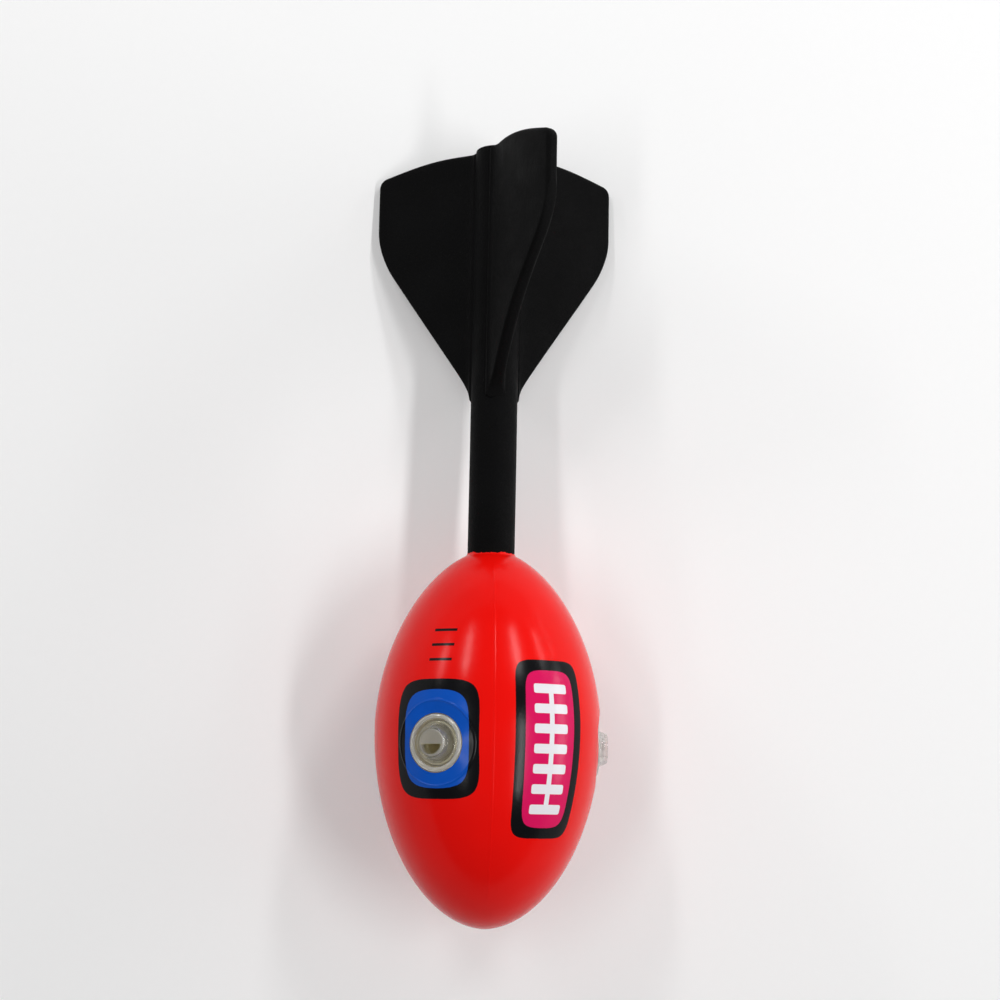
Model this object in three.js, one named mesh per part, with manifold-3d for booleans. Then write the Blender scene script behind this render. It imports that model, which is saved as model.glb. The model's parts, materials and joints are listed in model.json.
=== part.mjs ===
// Foam throwing toy: a ball-shaped foam head with three whistles let into its sides, and a foam
// tail of a round stem with three soft fins. It lies as it rests on a table, on the head and on
// the tips of its two lower fins. Millimetres, +Z up, nose toward -Y, tail toward +Y.
import * as THREE from 'three';
import { mergeVertices } from 'three/addons/utils/BufferGeometryUtils.js';
import Module from 'manifold-3d';

// Running gap between any two pieces that touch, and how far a cutter runs past what it cuts
const clearance = 0.3;
const overrun = 3;

// Foam head, with stations counted along its axis from the nose tip
const headRadius = 42.6;
const noseLength = 73.5;
const rearLength = 68.5;
const noseCurve = { power: 2, root: 0.535 };
const rearCurve = { power: 1.85, root: 0.56 };
const neckLip = 0.4;
const headFacets = 60;
const headRings = 15;

// Foam stem: the length that shows behind the head, and the moulded-in root inside the head
const stemRadius = 9;
const stemShown = 160.6;
const stemBuried = 46;
const stemHeadRadius = 12.5;
const stemHeadLength = 9;
const stemHeadSlope = 6;
const stemEdge = 0.8;
const stemFacets = 36;

// Foam fins: reach is counted from the stem's axis, lengths along it
const finCount = 3;
const finReach = 53;
const finThickness = 5;
const finRootLength = 97;
const finTipLength = 31.3;
const finRake = 5.2;
const finRearBow = 1.6;
const finEndInset = 0.5;
const finKneeRadius = 40;
const finCornerRadius = 4.7;
const finEdgeRadius = 1.6;
const finRingShare = 0.8;
const hingeDepth = 0.5;
const flexRange = THREE.MathUtils.degToRad(25);
const bladeStations = 9;
const roundStations = 5;
const grooveFacets = 24;

// How each fin stands at its root and how it curls: the top one has taken a set to one side
const finPoses = [
  { name: 'fin_top', lean: THREE.MathUtils.degToRad(11.3), curlRadius: 105 },
  { name: 'fin_right', lean: 0, curlRadius: Infinity },
  { name: 'fin_left', lean: 0, curlRadius: Infinity },
];

// Whistles: the seat plane lies below the head's widest radius, heights are counted from it
const whistleCount = 3;
const whistleStation = 67.4;
const whistleFirstAngle = THREE.MathUtils.degToRad(-30);
const seatDepth = 1.7;
const landRadius = 15.3;
const rimRadius = 10.4;
const rimHeight = 0.7;
const rimWidth = 1.7;
const rimFloorDrop = 0.3;
const rimFloorThickness = 0.9;
const turretBaseRadius = 7.35;
const turretTopRadius = 5.8;
const turretHeight = 4.2;
const turretWall = 0.9;
const turretEdge = 0.5;
const windowRadius = 4.2;
const windowOffset = 0.5;
const spigotLength = 3;
const spigotWall = 1;
const cupRadius = 7.9;
const cupWall = 1.1;
const cupDepth = 21;
const whistleFacets = 32;
const windowFacets = 12;

// Places that follow from the sizes above
const boreRadius = stemRadius + clearance;
const headRear = stationAtRadius(boreRadius + neckLip);
const tailEnd = headRear + stemShown;
const stemStart = headRear - stemBuried;
const finTail = tailEnd - finEndInset;
const finLead = finTail - finRootLength;
const hingeRadius = stemRadius - hingeDepth;
const seatRadius = headRadius - seatDepth;

// Colours and finishes
const redFoam = new THREE.MeshStandardMaterial({ color: 0xe10a08, roughness: 0.35, metalness: 0 });
const blackFoam = new THREE.MeshStandardMaterial({ color: 0x0a0a0b, roughness: 0.75, metalness: 0 });
const clearPlastic = new THREE.MeshStandardMaterial({
  color: 0xd8dcdc, roughness: 0.12, metalness: 0, transparent: true, opacity: 0.45,
});

const wasm = await Module();
wasm.setup();

// Radius of the head's surface at a station
function headSurface(station) {
  const front = station < noseLength;
  const distance = front ? (noseLength - station) / noseLength : (station - noseLength) / rearLength;
  const { power, root } = front ? noseCurve : rearCurve;
  return headRadius * Math.max(0, 1 - distance ** power) ** root;
}

// Station behind the widest section at which the head's surface has a radius
function stationAtRadius(radius) {
  const { power, root } = rearCurve;
  return noseLength + rearLength * (1 - (radius / headRadius) ** (1 / root)) ** (1 / power);
}

// Position-only copy of a closed geometry, with its shared corners merged
function bare(geometry) {
  const copy = geometry.clone();
  copy.deleteAttribute('normal');
  copy.deleteAttribute('uv');
  return mergeVertices(copy);
}

function toSolid(geometry) {
  const { attributes, index } = bare(geometry);
  return new wasm.Manifold(new wasm.Mesh({
    numProp: 3,
    vertProperties: new Float32Array(attributes.position.array),
    triVerts: new Uint32Array(index.array),
  }));
}

function toGeometry(solid) {
  const mesh = solid.getMesh();
  const geometry = new THREE.BufferGeometry();
  geometry.setAttribute('position', new THREE.BufferAttribute(mesh.vertProperties, 3));
  geometry.setIndex(new THREE.BufferAttribute(mesh.triVerts, 1));
  return geometry;
}

function cut(geometry, tools) {
  const solid = tools.reduce((left, tool) => left.subtract(toSolid(tool)), toSolid(geometry));
  return toGeometry(solid);
}

// Solid of revolution round Y, from [radius, station] pairs that start and end on the axis
function turned(profile, facets) {
  const points = profile.map(([radius, station]) => new THREE.Vector2(radius, station));
  return new THREE.LatheGeometry(points, facets);
}

// Solid through a row of rings with equal numbers of points, closed by a fan at each end
function lofted(rings) {
  const count = rings[0].length;
  const centres = [rings[0], rings.at(-1)].map((ring) =>
    ring.reduce((sum, point) => sum.add(point), new THREE.Vector3()).divideScalar(count));
  const points = [...rings.flat(), ...centres];
  const [first, last] = [points.length - 2, points.length - 1];
  const faces = [];
  for (let i = 0; i < count; i += 1) {
    const next = (i + 1) % count;
    const end = (rings.length - 1) * count;
    faces.push([first, next, i], [last, end + i, end + next]);
    for (let row = 0; row < end; row += count) {
      const [near, far] = [row + i, row + next];
      faces.push([near, far, far + count], [near, far + count, near + count]);
    }
  }
  const volume = faces.reduce((sum, [a, b, c]) =>
    sum + points[a].dot(new THREE.Vector3().crossVectors(points[b], points[c])), 0);
  const outward = volume > 0 ? faces : faces.map(([a, b, c]) => [a, c, b]);
  return new THREE.BufferGeometry().setFromPoints(points).setIndex(outward.flat());
}

// Placement of whatever is built round Y, so that Y points out of the head at an angle round it
function outwardAt(angle, station) {
  return new THREE.Matrix4().makeRotationY(angle)
    .multiply(new THREE.Matrix4().makeTranslation(0, station, 0))
    .multiply(new THREE.Matrix4().makeRotationX(Math.PI / 2));
}

function placed(geometry, matrix) {
  return geometry.clone().applyMatrix4(matrix);
}

// Cutter of the shallow land round a whistle: its floor runs straight from the flat seat ring to
// the head's own curved surface, and its wall stands clear of the head
function landCutter() {
  const inner = rimRadius + clearance;
  const outer = landRadius + overrun;
  const ring = (radius, heightAt) => Array.from({ length: whistleFacets }, (_, i) => {
    const angle = (2 * Math.PI * i) / whistleFacets;
    const across = Math.sin(angle);
    const along = Math.cos(angle);
    return new THREE.Vector3(radius * across, heightAt(across, along), radius * along);
  });
  const floorAt = (across, along) => {
    const side = landRadius * across;
    const surface = Math.sqrt(headSurface(whistleStation - landRadius * along) ** 2 - side ** 2);
    const slope = (surface - seatRadius) / (landRadius - inner);
    return seatRadius + slope * (outer - inner);
  };
  const top = headRadius + overrun;
  return lofted([ring(inner, () => seatRadius), ring(outer, floorAt), ring(outer, () => top)]);
}

// Stepped pocket that takes a whistle: the flange in the upper bore, the cup in the lower one
function pocketCutter() {
  const ledge = seatRadius - rimFloorDrop - rimFloorThickness - clearance;
  const bottom = seatRadius - cupDepth - clearance;
  const top = headRadius + overrun;
  return turned([
    [0, bottom], [cupRadius + clearance, bottom], [cupRadius + clearance, ledge],
    [rimRadius + clearance, ledge], [rimRadius + clearance, top], [0, top],
  ], whistleFacets);
}

// Foam head with the stem's bore and three whistle seats
function headGeometry() {
  const arc = Array.from({ length: headRings }, (_, i) => ((i + 1) / headRings) * (Math.PI / 2));
  const rearShare = (headRear - noseLength) / rearLength;
  const nose = arc.map((angle) => noseLength * (1 - Math.cos(angle)));
  const rear = arc.map((angle) => noseLength + rearLength * rearShare * Math.sin(angle));
  const skin = [...nose, ...rear].map((station) => [headSurface(station), station]);
  const floor = stemStart - clearance;
  const cavity = stemHeadRadius + clearance;
  const shoulder = stemStart + stemHeadLength;
  const bore = [
    [boreRadius, headRear], [boreRadius, shoulder + stemHeadSlope + clearance],
    [cavity, shoulder + clearance], [cavity, floor], [0, floor],
  ];
  const whole = turned([[0, 0], ...skin, ...bore], headFacets);
  const tools = whistleAngles().flatMap((angle) => {
    const place = outwardAt(angle, whistleStation);
    return [placed(landCutter(), place), placed(pocketCutter(), place)];
  });
  return cut(whole, tools);
}

function whistleAngles() {
  return Array.from({ length: whistleCount }, (_, i) =>
    whistleFirstAngle + (2 * Math.PI * i) / whistleCount);
}

// Placement of a fin's own frame at its hinge line: X runs out along the blade, Y along the
// stem and Z across the blade, on the side that a positive lean turns it away from
function finPlace(angle, lean) {
  return new THREE.Matrix4().makeRotationY(angle - Math.PI / 2)
    .multiply(new THREE.Matrix4().makeTranslation(hingeRadius, 0, 0))
    .multiply(new THREE.Matrix4().makeRotationY(lean));
}

function finAngle(index) {
  return (2 * Math.PI * index) / finCount;
}

// Groove that takes a fin's round root, flared so that the blade can lean by the flex range
function grooveCutter() {
  const radius = finThickness / 2 + clearance;
  const turn = Math.PI / 2 + flexRange;
  const flare = new THREE.Vector2(Math.cos(flexRange), Math.sin(flexRange)).multiplyScalar(overrun);
  const [x, y] = [radius * Math.cos(turn), radius * Math.sin(turn)];
  const outline = new THREE.Shape();
  outline.moveTo(x + flare.x, y + flare.y);
  outline.lineTo(x, y);
  outline.absarc(0, 0, radius, turn, 2 * Math.PI - turn, false);
  outline.lineTo(x + flare.x, -y - flare.y);
  const start = finLead - clearance;
  const depth = tailEnd + overrun - start;
  const options = { depth, bevelEnabled: false, curveSegments: grooveFacets };
  return new THREE.ExtrudeGeometry(outline, options)
    .rotateX(-Math.PI / 2)
    .translate(0, start, 0);
}

// Foam stem: a wider moulded-in root, the round shaft and three root grooves
function stemGeometry() {
  const shoulder = stemStart + stemHeadLength;
  const shaft = turned([
    [0, stemStart], [stemHeadRadius - stemEdge, stemStart], [stemHeadRadius, stemStart + stemEdge],
    [stemHeadRadius, shoulder], [stemRadius, shoulder + stemHeadSlope],
    [stemRadius, tailEnd - stemEdge], [stemRadius - stemEdge, tailEnd], [0, tailEnd],
  ], stemFacets);
  const grooves = finPoses.map(({ lean }, i) => placed(grooveCutter(), finPlace(finAngle(i), lean)));
  return cut(shaft, grooves);
}

// Station of a fin's leading or trailing edge at a distance from the axis. The edge runs from
// the stem to its corner with the outer edge, bowed out a little, and an arc rounds that corner
function finEdge(distance, rootStation, cornerStation, radius, side, bow) {
  const width = finReach - stemRadius;
  const slant = side * (cornerStation - rootStation);
  const length = Math.hypot(slant, width);
  const tangent = radius / Math.tan(Math.acos(slant / length) / 2);
  const straightEnd = finReach - (tangent * width) / length;
  if (distance > straightEnd) {
    const rise = Math.min(distance - finReach + radius, radius);
    return cornerStation + side * (Math.sqrt(radius ** 2 - rise ** 2) - tangent);
  }
  const out = Math.max(0, distance - stemRadius);
  const swell = bow * Math.sin((Math.PI * out) / (straightEnd - stemRadius));
  return rootStation + side * ((slant * out) / width + swell);
}

// Half the blade's thickness along it: a round root about the hinge and a rounded outer edge
function finHalfThickness(along) {
  const half = finThickness / 2;
  if (along < 0) {
    return Math.sqrt(half ** 2 - along ** 2);
  }
  const intoEdge = Math.max(0, along - (finReach - hingeRadius - finEdgeRadius));
  return half - finEdgeRadius + Math.sqrt(Math.max(0, finEdgeRadius ** 2 - intoEdge ** 2));
}

// Distances from the hinge at which the blade has a ring, closer together where it is round
function finStations() {
  const half = finThickness / 2;
  const blade = finReach - hingeRadius;
  const steps = Array.from({ length: roundStations }, (_, i) =>
    ((i + 1) / (roundStations + 1)) * (Math.PI / 2));
  const root = steps.map((angle) => -half * Math.cos(angle));
  const straight = blade - finCornerRadius;
  const middle = Array.from({ length: bladeStations + 1 }, (_, i) => (straight * i) / bladeStations);
  const tip = steps.map((angle) => straight + finCornerRadius * Math.sin(angle));
  return [...root, ...middle, ...tip, blade];
}

// One ring of the blade: a flat rounded section that runs from the leading to the trailing edge
function finRing(along, curlRadius) {
  const distance = hingeRadius + along;
  const tipTail = finTail - finRake;
  const lead = finEdge(distance, finLead, tipTail - finTipLength, finKneeRadius, -1, 0);
  const trail = finEdge(distance, finTail, tipTail, finCornerRadius, 1, finRearBow);
  const half = finHalfThickness(along);
  const round = Math.min(finEdgeRadius, finRingShare * half);
  const turn = Math.max(0, along) / curlRadius;
  const bend = Number.isFinite(curlRadius)
    ? new THREE.Vector2(curlRadius * Math.sin(turn), curlRadius * (Math.cos(turn) - 1))
    : new THREE.Vector2(Math.max(0, along), 0);
  const middle = new THREE.Vector3(bend.x + Math.min(0, along), 0, bend.y);
  const corners = [[trail - round, half - round], [lead + round, half - round],
    [lead + round, round - half], [trail - round, round - half]];
  return corners.flatMap(([station, across], quarter) => [0, 0.5, 1].map((step) => {
    const angle = (1 - quarter - step) * (Math.PI / 2);
    const out = across + round * Math.cos(angle);
    const rise = station + round * Math.sin(angle);
    return middle.clone().add(new THREE.Vector3(out * Math.sin(turn), rise, out * Math.cos(turn)));
  }));
}

function finGeometry(curlRadius) {
  return lofted(finStations().map((along) => finRing(along, curlRadius)));
}

// Clear cap: rimmed flange, spigot into the cup and a raised turret with a D-shaped window
function capGeometry() {
  const floorTop = -rimFloorDrop;
  const floorUnder = floorTop - rimFloorThickness;
  const spigotRadius = cupRadius - cupWall - clearance;
  const spigotBore = spigotRadius - spigotWall;
  const beadMiddle = rimRadius - rimWidth / 2;
  const beadShoulder = rimHeight - rimWidth / 4;
  const turretBore = Math.min(turretBaseRadius - turretWall, spigotBore);
  const roof = turretHeight - turretWall;
  const whole = turned([
    [0, roof], [turretTopRadius - turretWall, roof], [turretBore, floorUnder], [spigotBore, floorUnder],
    [spigotBore, floorUnder - spigotLength], [spigotRadius, floorUnder - spigotLength],
    [spigotRadius, floorUnder], [rimRadius, floorUnder],
    [rimRadius, beadShoulder], [beadMiddle, rimHeight], [rimRadius - rimWidth, beadShoulder],
    [rimRadius - rimWidth, floorTop], [turretBaseRadius, floorTop],
    [turretTopRadius, turretHeight - turretEdge], [turretTopRadius - turretEdge, turretHeight],
    [0, turretHeight],
  ], whistleFacets);
  return cut(whole, [windowCutter(roof)]);
}

// D-shaped prism through the turret's roof, its straight edge across the toy's axis
function windowCutter(roof) {
  const reach = Math.acos(windowOffset / windowRadius);
  const outline = new THREE.Shape().absarc(0, 0, windowRadius, -reach, reach, false);
  const depth = turretWall + 2 * clearance;
  return new THREE.ExtrudeGeometry(outline, { depth, bevelEnabled: false, curveSegments: windowFacets })
    .rotateZ(-Math.PI / 2)
    .rotateX(-Math.PI / 2)
    .translate(0, roof - clearance, 0);
}

// Resonance cup under the cap
function cupGeometry() {
  const bottom = -cupDepth;
  const top = -rimFloorDrop - rimFloorThickness - clearance;
  const bore = cupRadius - cupWall;
  return turned([
    [0, bottom], [cupRadius, bottom], [cupRadius, top], [bore, top], [bore, bottom + cupWall],
    [0, bottom + cupWall],
  ], whistleFacets);
}

function mesh(name, geometry, material) {
  const piece = new THREE.Mesh(geometry, material.clone());
  piece.name = name;
  return piece;
}

function whistle(angle, number) {
  const group = new THREE.Group();
  const seat = new THREE.Matrix4().makeTranslation(0, seatRadius, 0);
  group.applyMatrix4(outwardAt(angle, whistleStation).multiply(seat));
  group.add(mesh(`whistle_cup_${number}`, cupGeometry(), clearPlastic));
  group.add(mesh(`whistle_cap_${number}`, capGeometry(), clearPlastic));
  return group;
}

function fin({ name, lean, curlRadius }, index) {
  const group = new THREE.Group();
  group.applyMatrix4(finPlace(finAngle(index), lean));
  group.add(mesh(name, finGeometry(curlRadius), blackFoam));
  return group;
}

// Lowest point of a piece once the toy is tipped tail-down by an angle
function lowest(piece, tilt) {
  const { position } = piece.geometry.attributes;
  piece.updateWorldMatrix(true, false);
  const heights = Array.from({ length: position.count }, (_, i) => {
    const point = new THREE.Vector3().fromBufferAttribute(position, i).applyMatrix4(piece.matrixWorld);
    return point.z * Math.cos(tilt) - point.y * Math.sin(tilt);
  });
  return Math.min(...heights);
}

// Tilt at which the head and the lower fins meet one flat surface, by halving the interval
function restTilt(head, lowerFin) {
  let [flat, steep] = [0, Math.PI / 8];
  for (let step = 0; step < 40; step += 1) {
    const middle = (flat + steep) / 2;
    const finTouches = lowest(lowerFin, middle) < lowest(head, middle);
    [flat, steep] = finTouches ? [flat, middle] : [middle, steep];
  }
  return (flat + steep) / 2;
}

const toy = new THREE.Group();
const head = mesh('foam_head', headGeometry(), redFoam);
const fins = finPoses.map(fin);
toy.add(head);
toy.add(mesh('tail_stem', stemGeometry(), blackFoam));
toy.add(...fins);
toy.add(...whistleAngles().map((angle, i) => whistle(angle, i + 1)));
toy.rotation.x = -restTilt(head, fins[1].children[0]);

// The origin is the middle of the box's bottom
const model = new THREE.Group();
model.add(toy);
const box = new THREE.Box3().setFromObject(model, true);
const centre = box.getCenter(new THREE.Vector3());
toy.position.set(-centre.x, -centre.y, -box.min.z);

export default model;
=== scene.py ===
"""Dresses a foam throwing toy: a red foam head with three clear whistles, and a black foam tail
of a stem with three soft fins. Metres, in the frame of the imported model."""

import json
from math import acos, ceil, cos, exp, hypot, pi, radians, sin, sqrt, tan

import bmesh
import bpy
import numpy as np
from bpy.props import FloatProperty, FloatVectorProperty, IntProperty, PointerProperty
from bpy.types import Operator, Panel, PropertyGroup
from mathutils import Matrix, Vector


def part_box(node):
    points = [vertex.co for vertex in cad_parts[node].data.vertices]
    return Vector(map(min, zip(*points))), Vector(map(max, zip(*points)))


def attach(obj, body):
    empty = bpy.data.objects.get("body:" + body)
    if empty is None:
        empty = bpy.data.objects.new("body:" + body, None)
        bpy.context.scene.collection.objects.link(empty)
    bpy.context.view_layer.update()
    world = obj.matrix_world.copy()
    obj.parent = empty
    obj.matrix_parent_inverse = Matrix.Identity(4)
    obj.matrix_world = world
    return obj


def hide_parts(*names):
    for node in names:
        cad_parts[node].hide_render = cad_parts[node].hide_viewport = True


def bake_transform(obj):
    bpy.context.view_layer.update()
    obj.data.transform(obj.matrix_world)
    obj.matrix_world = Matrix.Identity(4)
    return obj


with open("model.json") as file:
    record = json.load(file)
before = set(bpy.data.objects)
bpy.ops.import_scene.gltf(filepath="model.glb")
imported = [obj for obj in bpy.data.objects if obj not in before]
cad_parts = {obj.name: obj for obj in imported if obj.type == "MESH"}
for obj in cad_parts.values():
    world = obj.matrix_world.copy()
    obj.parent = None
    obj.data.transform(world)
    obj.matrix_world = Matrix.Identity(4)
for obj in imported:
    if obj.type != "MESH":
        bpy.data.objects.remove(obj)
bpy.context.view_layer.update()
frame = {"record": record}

bl_info = {
    "name": "Foam throwing toy",
    "version": (1, 0, 0),
    "blender": (4, 5, 0),
    "location": "View3D > Sidebar > Toy",
    "description": "Foam head, foam tail and clear whistles of a throwing toy, with its stage",
    "category": "Object",
}

ROOT_BODY = "head_and_stem"
MM = 0.001
SHARP_ANGLE = radians(38)
PHOTO_PIXELS = 1000

# The toy's own frame: its axis runs from the nose tip to the tail end, and angles round it are
# counted from straight up toward +X
TAIL_END = Vector(frame["record"]["mounts"][0]["pos_m"])
AXIS = Vector(frame["record"]["mounts"][0]["axis"]).normalized()
RIGHT = Vector((1, 0, 0))
UP = RIGHT.cross(AXIS)
TOY_LENGTH = (TAIL_END.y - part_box("foam_head")[0].y) / AXIS.y
NOSE = TAIL_END - AXIS * TOY_LENGTH
TO_ROW = np.array([RIGHT, AXIS, UP])

# Degrees round the axis, degrees that the blade leans, and the radius that it curls to
FINS = {
    "fin_top": {"angle": 0, "lean": 11.3, "curl_radius": 0.105},
    "fin_right": {"angle": 120, "lean": 0, "curl_radius": 4},
    "fin_left": {"angle": 240, "lean": 0, "curl_radius": -5},
}

# Soft boxes over the toy: degrees round its axis from the camera, place past its middle, length,
# width, power and beam
TUBES = (
    (-55, 0.7, 0.4, 0.06, 1.5, 180), (-27, 0.95, 0.7, 0.08, 4.2, 180),
    (34, 0.95, 0.7, 0.1, 5.2, 180), (66, 0.8, 0.45, 0.06, 1.3, 180),
    (78.5, 0.1, 0.8, 0.12, 1.2, 120), (84, 0.9, 1, 0.02, 0.4, 120),
    (-24, -0.05, 0.6, 0.07, 1.9, 180), (34, -0.15, 0.6, 0.08, 3.6, 180),
)


# Settings

def length_property(name, description, millimetres):
    return FloatProperty(
        name=name, description=description, default=millimetres * MM, unit="LENGTH")


def angle_property(name, description, degrees):
    return FloatProperty(
        name=name, description=description, default=radians(degrees), subtype="ANGLE")


def number_property(name, description, default):
    return FloatProperty(name=name, description=description, default=default)


def colour_property(name, description, *linear):
    return FloatVectorProperty(name=name, description=description, default=(*linear, 1),
                               subtype="COLOR", size=4, min=0, max=1)


class HeadSizes(PropertyGroup):
    """Sizes of the foam head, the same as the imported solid's"""

    radius: length_property("Radius", "Widest radius", 42.6)
    nose_length: length_property("Nose length", "Nose tip to widest section", 73.5)
    rear_length: length_property(
        "Rear length", "Widest section to where the rear curve would close", 68.5)
    nose_power: number_property("Nose power", "Shape of the nose curve", 2)
    nose_root: number_property("Nose root", "Bluntness of the nose", 0.535)
    rear_power: number_property("Rear power", "Shape of the rear curve", 1.85)
    rear_root: number_property("Rear root", "Bluntness of the rear", 0.56)
    neck_radius: length_property("Neck radius", "Edge of the foam round the stem", 9.7)
    seam_height: length_property("Seam height", "Ridge left by the mould's parting line", 0.08)
    seam_width: length_property("Seam width", "Half width of the ridge", 0.3)


class WhistleSizes(PropertyGroup):
    """Sizes of a whistle and its seat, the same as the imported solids'"""

    station: length_property("Station", "Nose tip to the whistle's centre", 67.4)
    first_angle: angle_property("First angle", "Angle of the first whistle round the axis", -30)
    count: IntProperty(name="Count", description="Whistles round the head", default=3)
    seat_radius: length_property("Seat radius", "Axis to the plane of the seat", 40.9)
    land_radius: length_property("Land radius", "Outer edge of the land", 15.3)
    rim_radius: length_property("Rim radius", "Outside of the flange", 10.4)
    cup_radius: length_property("Cup radius", "Outside of the cup", 7.9)
    cup_depth: length_property("Cup depth", "Seat plane to the cup's bottom", 21)
    clearance: length_property("Clearance", "Gap round the flange and the cup", 0.3)


class TailSizes(PropertyGroup):
    """Sizes of the stem and the fins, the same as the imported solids'"""

    stem_radius: length_property("Stem radius", "Stem", 9)
    stem_buried: length_property("Stem buried", "Length inside the head", 46)
    stem_edge: length_property("Stem edge", "Rounding of the cut end", 0.9)
    fin_reach: length_property("Fin reach", "Axis to the outer edge", 53)
    fin_thickness: length_property("Fin thickness", "Thickness of a blade", 5)
    fin_root_length: length_property("Fin root", "Length along the stem", 97)
    fin_tip_length: length_property("Fin tip", "Length of the outer edge", 31.3)
    fin_rake: length_property("Fin rake", "How far the outer corner lies forward", 5.2)
    fin_rear_bow: length_property("Rear bow", "Bow of the trailing edge", 1.6)
    fin_knee_radius: length_property("Knee radius", "Rounding of the leading corner", 40)
    fin_corner_radius: length_property("Corner radius", "Rounding of the trailing corner", 4.7)
    fin_edge_radius: length_property("Edge radius", "Rounding of a blade's edges", 1.7)
    hinge_depth: length_property("Hinge depth", "Hinge line below the stem's surface", 0.5)
    root_fillet: length_property("Root fillet", "Foam fillet where a fin meets the stem", 1.4)


class ToyColours(PropertyGroup):
    """Colours of the toy's finishes, as linear values"""

    red_skin: colour_property("Red skin", "Self-skinned foam of the head", 0.88, 0.004, 0.002)
    raw_foam: colour_property("Raw foam", "Cut foam under the whistles", 0.55, 0.44, 0.22)
    black_foam: colour_property("Black foam", "Foam of the tail", 0.0014, 0.0014, 0.0015)
    blue_print: colour_property("Blue print", "Panel round a whistle", 0.003, 0.08, 0.47)
    magenta_print: colour_property("Magenta print", "Lace panel", 0.66, 0.006, 0.10)
    white_print: colour_property("White print", "Laces", 0.82, 0.80, 0.84)
    black_print: colour_property("Black print", "Outlines", 0.003, 0.003, 0.004)
    clear_plastic: colour_property("Clear plastic", "Whistle caps", 0.96, 0.96, 0.95)
    frosted_plastic: colour_property("Frosted plastic", "Roofs of the whistles", 0.95, 0.89, 0.78)
    cup_plastic: colour_property("Cup plastic", "Whistle cups", 0.94, 0.84, 0.5)
    floor: colour_property("Floor", "Stage floor", 0.82, 0.82, 0.82)


class StageSizes(PropertyGroup):
    """The camera, as the photograph shows the toy"""

    focal_pixels: number_property("Focal length", "In pixels of a picture 1000 pixels wide", 2048)
    distance: length_property("Distance", "Camera to the aimed point, along its view", 785)
    aim_station: length_property(
        "Aim station", "Aimed point on the toy's axis, from the nose", 161.3)
    aim_column: number_property("Aim column", "Pixel column of that point", 492.2)
    aim_row: number_property("Aim row", "Pixel row of that point", 500)
    incline: angle_property("Incline", "Toy's axis against the picture, tail away", 8.5)
    roll: angle_property("Roll", "Toy's axis against the picture's upright, tail to the right", 1.1)
    turn: angle_property("Turn", "How far the toy is turned about its axis, top to the right", 3.3)


def sizes():
    scene = bpy.context.scene
    return scene.toy_head, scene.toy_whistle, scene.toy_tail


# Shapes

def row_points(points):
    """Points of the toy's own frame, as (across, station, up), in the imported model's frame."""
    return np.asarray(points, float) @ TO_ROW + np.array(NOSE)


def smooth_faces(mesh):
    mesh.shade_smooth()
    mesh.set_sharp_from_angle(angle=SHARP_ANGLE)


def tidy_mesh(made):
    """Merges doubled points, turns faces outward and shades the mesh smooth."""
    work = bmesh.new()
    work.from_mesh(made.data)
    bmesh.ops.remove_doubles(work, verts=work.verts, dist=0.002 * MM)
    bmesh.ops.recalc_face_normals(work, faces=work.faces)
    work.to_mesh(made.data)
    work.free()
    smooth_faces(made.data)


def mesh_object(name, points, faces):
    mesh = bpy.data.meshes.new(name)
    mesh.from_pydata(points, [], faces)
    made = bpy.data.objects.new(name, mesh)
    bpy.context.scene.collection.objects.link(made)
    return made


def piece(name, points, faces, materials, face_materials=None):
    """A smooth mesh object from toy-frame points, with its finish."""
    made = mesh_object(name, row_points(points).tolist(), faces)
    mesh = made.data
    for material in materials:
        mesh.materials.append(material)
    if face_materials is not None:
        mesh.polygons.foreach_set("material_index", face_materials)
    place = mesh.attributes.new("toy_place", "FLOAT_VECTOR", "POINT")
    place.data.foreach_set("vector", np.asarray(points, np.float32).ravel())
    mesh.validate()
    tidy_mesh(made)
    return made


def ring_faces(rows, count, first=0):
    """Quads between closed rows of count points."""
    return [
        (first + row * count + i, first + row * count + (i + 1) % count,
         first + (row + 1) * count + (i + 1) % count, first + (row + 1) * count + i)
        for row in range(rows - 1) for i in range(count)
    ]


def fan(centre, ring):
    return [(centre, ring[i - 1], ring[i]) for i in range(len(ring))]


def turned(profile, count):
    """Points and faces of a surface turned round Y, from (radius, height) pairs that start and
    end on the axis."""
    rows = len(profile) - 2
    radius, height = np.repeat(profile[1:-1], count, axis=0).T
    turn = np.tile(np.linspace(0, 2 * pi, count, endpoint=False), rows)
    points = np.stack([radius * np.sin(turn), height, radius * np.cos(turn)], axis=1)
    ends = [[0, profile[0][1], 0], [0, profile[-1][1], 0]]
    low = len(points)
    faces = ring_faces(rows, count) + fan(low, range(count - 1, -1, -1))
    return np.vstack([points, ends]), faces + fan(low + 1, range(low - count, low))


def arc(centre, radius, start, end, steps):
    """Points of a profile's arc, with angles in degrees."""
    angles = np.radians(np.linspace(start, end, steps))
    return [(centre[0] + radius * cos(a), centre[1] + radius * sin(a)) for a in angles]


def spread(samples, wanted):
    """Places along samples, closer where the wanted density is high."""
    total = np.concatenate([[0], np.cumsum((wanted[1:] + wanted[:-1]) / 2 * np.diff(samples))])
    return np.interp(np.linspace(0, total[-1], ceil(total[-1]) + 1), total, samples)


def near(values, centre, reach, soft):
    """1 within reach of the centre, falling to 0 over soft."""
    return np.clip((reach + soft - np.abs(values - centre)) / soft, 0, 1)


def density(coarse, fine, close):
    """Density of places, from a coarse spacing to a fine one where close is 1."""
    return 1 / coarse + close * (1 / fine - 1 / coarse)


def from_centre(angle, centre):
    """Angle from a centre, within half a turn."""
    return (angle - centre + pi) % (2 * pi) - pi


# Head

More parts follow.
